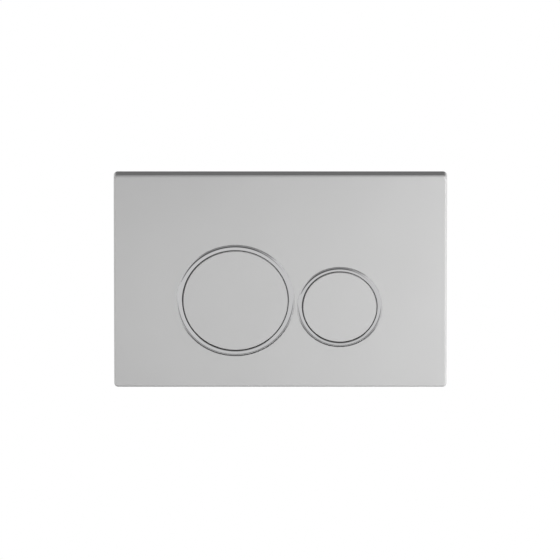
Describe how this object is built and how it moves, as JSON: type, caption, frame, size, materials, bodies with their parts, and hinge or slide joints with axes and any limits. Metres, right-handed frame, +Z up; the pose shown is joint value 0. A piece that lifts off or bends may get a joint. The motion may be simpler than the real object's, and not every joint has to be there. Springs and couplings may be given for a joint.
{
  "type": "dual-flush actuator plate",
  "caption": "Rectangular satin flush plate for a concealed cistern, with a large and a small round push button in polished rings, sprung plungers, push rods and a wall frame behind.",
  "frame": {"origin": "centre of the plate's outline on the finished wall plane", "axes": "+X to the right as seen by the user, +Y into the wall, +Z up"},
  "size_m": [0.246, 0.0915, 0.166],
  "materials": {
    "satin_chrome": "satin chrome plate on ABS",
    "polished_chrome": "polished chrome plate on ABS",
    "grey_plastic": "moulded, light texture",
    "white_plastic": "moulded, light texture",
    "white_acetal": "smooth moulded",
    "black_rubber": "matt",
    "spring_steel": "bright drawn",
    "zinc_steel": "zinc plated"
  },
  "bodies": {
    "plate": {"front_plate": "satin_chrome", "button_carrier": "grey_plastic", "mounting_frame": "white_plastic", "left_fixing_bolt": "zinc_steel", "right_fixing_bolt": "zinc_steel", "full_flush_ring": "polished_chrome", "full_flush_spring": "spring_steel", "full_flush_buffers": "black_rubber", "half_flush_ring": "polished_chrome", "half_flush_spring": "spring_steel", "half_flush_buffers": "black_rubber"},
    "full_flush_plunger_set": {"full_flush_button": "satin_chrome", "full_flush_plunger": "white_acetal", "full_flush_stem_clip": "spring_steel", "full_flush_push_rod": "white_acetal", "full_flush_rod_nut": "grey_plastic"},
    "half_flush_plunger_set": {"half_flush_button": "satin_chrome", "half_flush_plunger": "white_acetal", "half_flush_stem_clip": "spring_steel", "half_flush_push_rod": "white_acetal", "half_flush_rod_nut": "grey_plastic"}
  },
  "joints": [
    {"name": "full_flush_press", "type": "slide", "parent": "plate", "child": "full_flush_plunger_set", "axis": [0, 1, 0], "range_m": [0, 0.006], "stiffness_N_per_m": 350, "springref_m": -0.008, "deforming": ["full_flush_spring"]},
    {"name": "half_flush_press", "type": "slide", "parent": "plate", "child": "half_flush_plunger_set", "axis": [0, 1, 0], "range_m": [0, 0.006], "stiffness_N_per_m": 350, "springref_m": -0.008, "deforming": ["half_flush_spring"]}
  ]
}
